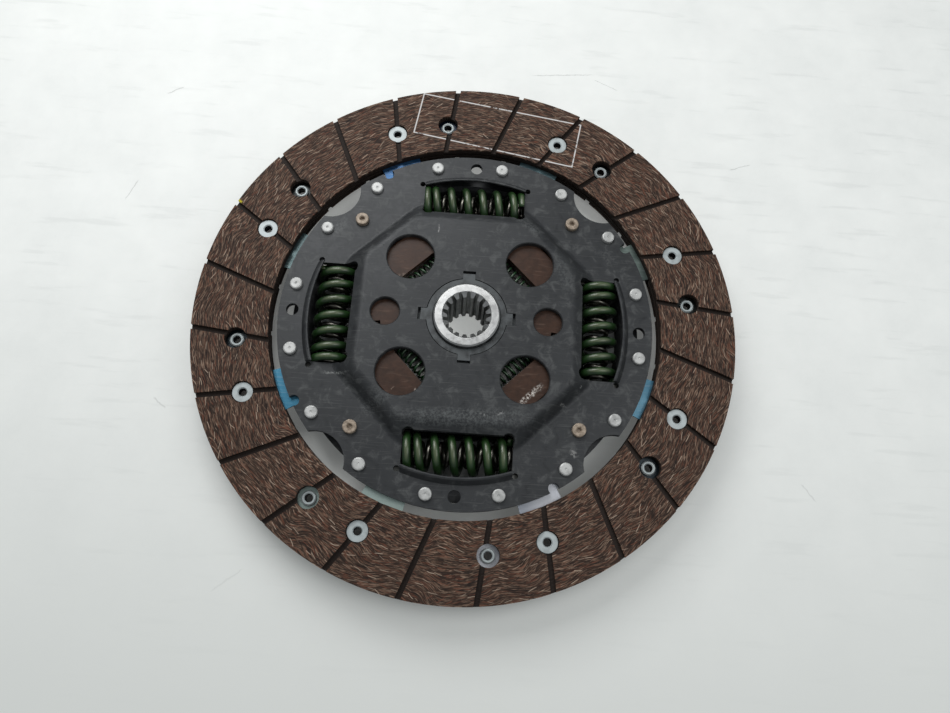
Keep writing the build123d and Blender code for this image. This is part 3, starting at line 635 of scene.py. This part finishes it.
for name in ("wave_spring", "pressure_plate", "cup_spring"):
    shaded(nodes[name], sheet)

# Thin marks on the table: centre in millimetres, angle in degrees, length and width
table_scratches = [
    ((40.0, 142.0), 6.0, 34.0, 0.5),
    ((62.0, 138.0), -24.0, 14.0, 0.4),
    ((-150.0, 116.0), 32.0, 9.0, 0.6),
    ((-160.0, 60.0), 70.0, 12.0, 0.5),
    ((-88.0, -110.0), 40.0, 16.0, 0.6),
    ((150.0, -60.0), -50.0, 10.0, 0.5),
    ((-128.0, -40.0), -35.0, 8.0, 0.6),
    ((128.0, 96.0), 20.0, 12.0, 0.5),
]

# Springs, drawn as coils in place of the CAD springs
# The last colour of each paint is both its wear tint and its painted highlight.
green = enamel_look("outer_spring_paint", (25, 45, 21), (114, 122, 92))
wire = steel_look("inner_spring_steel", (124, 122, 114), 0.3, ring_marks=False)
dark_green = enamel_look("small_spring_steel", (22, 46, 26), (84, 100, 80))
outer_d, main_length = spring_sizes("outer_spring_1", 0.0)
inner_d, _ = spring_sizes("inner_spring_1", 0.0)
small_d, small_length = spring_sizes("predamper_spring_1", 45.0)
outer_mesh = coil_mesh("outer_coil", outer_d, outer_wire_d, outer_pitch, main_length, 1)
inner_mesh = coil_mesh("inner_coil", inner_d, inner_wire_d, inner_pitch, main_length, -1)
small_mesh = coil_mesh("small_coil", small_d, small_wire_d, small_pitch, small_length, 1)


main_coils = (
    ("outer", outer_mesh, outer_phases, green, "outer_spring_paint"),
    ("inner", inner_mesh, (0.0,) * 4, wire, "inner_spring_steel"),
)
for k in range(4):
    angle = 90 * k
    for size, mesh, phases, material, slot in main_coils:
        node = f"{size}_spring_{k + 1}"
        spring = place_spring(node, mesh, angle, phases[k], "main_springs", material)
        shorten(spring)
    angle += 45
    node = f"predamper_spring_{k + 1}"
    spring = place_spring(node, small_mesh, angle, 0.0, "predamper_springs", dark_green)
    shorten(spring)


def floor():
    """Pale table top, faintly mottled and scratched, with painted shade darkening it towards the near
    side, a little brighter to the camera alone.
    """
    look = Look("table_top", 0.55)
    cloud = look.noise(34.0, detail=6.0, roughness=0.7)
    streak = look.noise(1.0, detail=4.0, coords=look.stretched(40.0, 5.0, 40.0, 35.0))
    colour = look.mix(cloud, linear(212, 215, 213), linear(238, 240, 237))
    colour = look.laid(colour, look.band(streak, 0.56, 0.7), 0.3, (200, 203, 201))
    for centre, angle, length, width in table_scratches:
        mark = stroke(look, centre, angle, length, width, ragged=0.8)
        colour = look.laid(colour, mark, 0.4, (150, 152, 150))
    depth = look.split(look.coords)[1]
    # Painted shade: the table's colour darkens towards the near side, as if less lit there.
    colour = look.mix(look.band(depth, 0.06, -0.2), colour, linear(208, 211, 208))
    bpy.ops.mesh.primitive_plane_add(size=8.0, location=(0, 0, cad_low[2]))
    plane = bpy.context.object
    plane.name = "table"
    seen = look.nodes.new("ShaderNodeLightPath").outputs["Is Camera Ray"]
    look.put(look.shader.inputs["Emission Color"], colour)
    radius = look.radius()
    outside = look.math("MULTIPLY", look.band(radius, 0.108, 0.122), outside_lift)
    bore = look.math("MULTIPLY", look.band(radius, 0.014, 0.01), bore_lift)
    ring = look.math("MULTIPLY", look.band(radius, 0.07, 0.075), look.band(radius, 0.094, 0.086))
    ring_lift = look.span(look.band(depth, 0.02, 0.07), ring_lift_near, ring_lift_far)
    lift = look.math("ADD", outside, bore)
    lift = look.math("ADD", lift, look.math("MULTIPLY", ring, ring_lift))
    look.put(look.shader.inputs["Emission Strength"], look.math("MULTIPLY", seen, lift))
    shaded(plane, look.finish(colour))


def lamp(name, at, size, power):
    """Square soft lamp that faces the disc."""
    data = bpy.data.lights.new(name, "AREA")
    data.shape = "SQUARE"
    data.size = size
    data.energy = power
    piece = bpy.data.objects.new(name, data)
    bpy.context.scene.collection.objects.link(piece)
    piece.location = at
    piece.rotation_euler = (-Vector(at)).to_track_quat("-Z", "Y").to_euler()


def camera():
    """Camera at the photograph's place; disc_turn is how far the disc is turned in the photograph."""
    tilt = math.radians(camera_elevation)
    roll = math.radians(camera_roll)
    forward = Vector((0, math.cos(tilt), -math.sin(tilt)))
    right = Vector((1, 0, 0))
    up = Vector((0, math.sin(tilt), math.cos(tilt)))
    side = right * math.cos(roll) + up * math.sin(roll)
    top = up * math.cos(roll) - right * math.sin(roll)
    turn = Matrix.Rotation(math.radians(disc_turn), 3, "Z")
    columns = [turn @ side, turn @ top, turn @ -forward]
    data = bpy.data.cameras.new("camera")
    data.sensor_width = sensor_mm
    data.lens = focal_px / image_width * sensor_mm
    piece = bpy.data.objects.new("camera", data)
    bpy.context.scene.collection.objects.link(piece)
    pose = Matrix(columns).transposed().to_4x4()
    pose.translation = Vector(camera_at) * mm
    piece.matrix_world = pose
    bpy.context.scene.camera = piece


def world():
    """Even pale light from all round."""
    studio = bpy.data.worlds.new("studio")
    studio.use_nodes = True
    tree = studio.node_tree
    background = tree.nodes["Background"]
    background.inputs["Color"].default_value = linear(238, 243, 246)
    seen = tree.nodes.new("ShaderNodeLightPath").outputs["Is Camera Ray"]
    strength = tree.nodes.new("ShaderNodeMath")
    strength.operation = "MULTIPLY_ADD"
    tree.links.new(seen, strength.inputs[0])
    strength.inputs[1].default_value = world_seen_extra
    strength.inputs[2].default_value = world_strength
    tree.links.new(strength.outputs[0], background.inputs["Strength"])
    bpy.context.scene.world = studio


floor()
lamp("key", (-0.2, 0.38, 0.5), 0.4, 2.3)
lamp("fill", (0.38, -0.02, 0.66), 0.4, 1.0)
camera()
world()
bpy.context.scene.view_settings.view_transform = "Standard"
